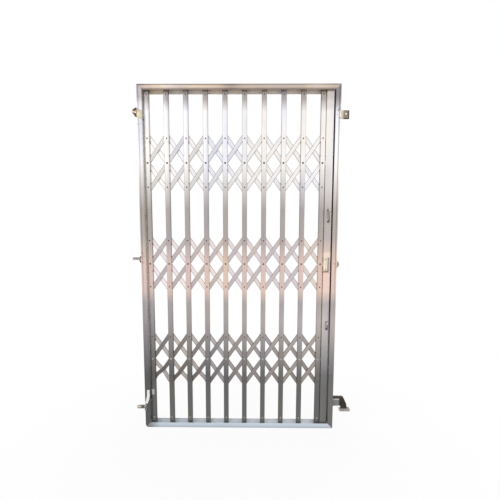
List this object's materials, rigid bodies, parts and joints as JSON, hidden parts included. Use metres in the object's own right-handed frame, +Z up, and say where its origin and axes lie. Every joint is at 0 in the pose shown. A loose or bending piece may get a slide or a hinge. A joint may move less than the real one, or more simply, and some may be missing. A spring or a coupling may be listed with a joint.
{
  "type": "collapsible gate",
  "caption": "Collapsible steel gate in a mitred channel frame: sliding double-channel pickets joined by three bands of riveted lattice flats, with a lock stile and wall hold-fasts.",
  "frame": {"origin": "middle of the bottom track's underside, at the gate's mid-plane", "axes": "+Z up along the height, +X to the right seen from the front, front faces -Y"},
  "size_m": [1.398, 0.0785, 2.134],
  "materials": {
    "frame_steel": "satin stainless sheet, a little warm, with smears and dull patches",
    "picket_steel": "brushed stainless channel",
    "lattice_steel": "brushed stainless flat",
    "rivet_steel": "darker, duller steel rivets and rod",
    "bracket_steel": "dull brown-grey steel lugs, stained",
    "lock_brass": "pale yellowish lock plate"
  },
  "bodies": {
    "frame": {"bottom_track": "frame_steel", "top_track": "frame_steel", "left_jamb": "frame_steel", "right_jamb": "frame_steel", "left_hold_fast_upper": "bracket_steel", "left_hold_fast_middle": "bracket_steel", "left_hold_fast_lower": "bracket_steel", "right_hold_fast_upper": "bracket_steel", "right_hold_fast_middle": "bracket_steel", "right_hold_fast_lower": "bracket_steel", "picket_01": "picket_steel", "fittings_01": "rivet_steel", "lattice_01": "lattice_steel"},
    "picket_02_leaf": {"picket_02": "picket_steel", "fittings_02": "rivet_steel", "lattice_02": "lattice_steel"},
    "picket_03_leaf": {"picket_03": "picket_steel", "fittings_03": "rivet_steel", "lattice_03": "lattice_steel"},
    "picket_04_leaf": {"picket_04": "picket_steel", "fittings_04": "rivet_steel", "lattice_04": "lattice_steel"},
    "picket_05_leaf": {"picket_05": "picket_steel", "fittings_05": "rivet_steel", "lattice_05": "lattice_steel"},
    "picket_06_leaf": {"picket_06": "picket_steel", "fittings_06": "rivet_steel", "lattice_06": "lattice_steel"},
    "picket_07_leaf": {"picket_07": "picket_steel", "fittings_07": "rivet_steel", "lattice_07": "lattice_steel"},
    "picket_08_leaf": {"picket_08": "picket_steel", "fittings_08": "rivet_steel", "lattice_08": "lattice_steel"},
    "picket_09_leaf": {"picket_09": "picket_steel", "fittings_09": "rivet_steel", "lattice_09": "lattice_steel"},
    "lock_stile_leaf": {"picket_10": "picket_steel", "fittings_10": "rivet_steel", "lattice_10": "lattice_steel", "lock_stile": "picket_steel", "lock_case": "lock_brass", "upper_pull": "rivet_steel", "lower_pull": "rivet_steel"}
  },
  "joints": [
    {"name": "lock_stile_slide", "type": "slide", "parent": "frame", "child": "lock_stile_leaf", "axis": [-1, 0, 0], "range_m": [0, 0.7267], "deforming": ["lattice_01", "lattice_10"]},
    {"name": "picket_02_slide", "type": "slide", "parent": "frame", "child": "picket_02_leaf", "axis": [-1, 0, 0], "range_m": [0, 0.0812], "deforming": ["lattice_02"]},
    {"name": "picket_03_slide", "type": "slide", "parent": "frame", "child": "picket_03_leaf", "axis": [-1, 0, 0], "range_m": [0, 0.162], "deforming": ["lattice_03"]},
    {"name": "picket_04_slide", "type": "slide", "parent": "frame", "child": "picket_04_leaf", "axis": [-1, 0, 0], "range_m": [0, 0.2427], "deforming": ["lattice_04"]},
    {"name": "picket_05_slide", "type": "slide", "parent": "frame", "child": "picket_05_leaf", "axis": [-1, 0, 0], "range_m": [0, 0.3235], "deforming": ["lattice_05"]},
    {"name": "picket_06_slide", "type": "slide", "parent": "frame", "child": "picket_06_leaf", "axis": [-1, 0, 0], "range_m": [0, 0.4042], "deforming": ["lattice_06"]},
    {"name": "picket_07_slide", "type": "slide", "parent": "frame", "child": "picket_07_leaf", "axis": [-1, 0, 0], "range_m": [0, 0.485], "deforming": ["lattice_07"]},
    {"name": "picket_08_slide", "type": "slide", "parent": "frame", "child": "picket_08_leaf", "axis": [-1, 0, 0], "range_m": [0, 0.5657], "deforming": ["lattice_08"]},
    {"name": "picket_09_slide", "type": "slide", "parent": "frame", "child": "picket_09_leaf", "axis": [-1, 0, 0], "range_m": [0, 0.6465], "deforming": ["lattice_09"]}
  ],
  "couplings": [
    {"joint": "picket_02_slide", "follows": "lock_stile_slide", "ratio": 0.11111},
    {"joint": "picket_03_slide", "follows": "lock_stile_slide", "ratio": 0.22222},
    {"joint": "picket_04_slide", "follows": "lock_stile_slide", "ratio": 0.33333},
    {"joint": "picket_05_slide", "follows": "lock_stile_slide", "ratio": 0.44444},
    {"joint": "picket_06_slide", "follows": "lock_stile_slide", "ratio": 0.55556},
    {"joint": "picket_07_slide", "follows": "lock_stile_slide", "ratio": 0.66667},
    {"joint": "picket_08_slide", "follows": "lock_stile_slide", "ratio": 0.77778},
    {"joint": "picket_09_slide", "follows": "lock_stile_slide", "ratio": 0.88889}
  ]
}
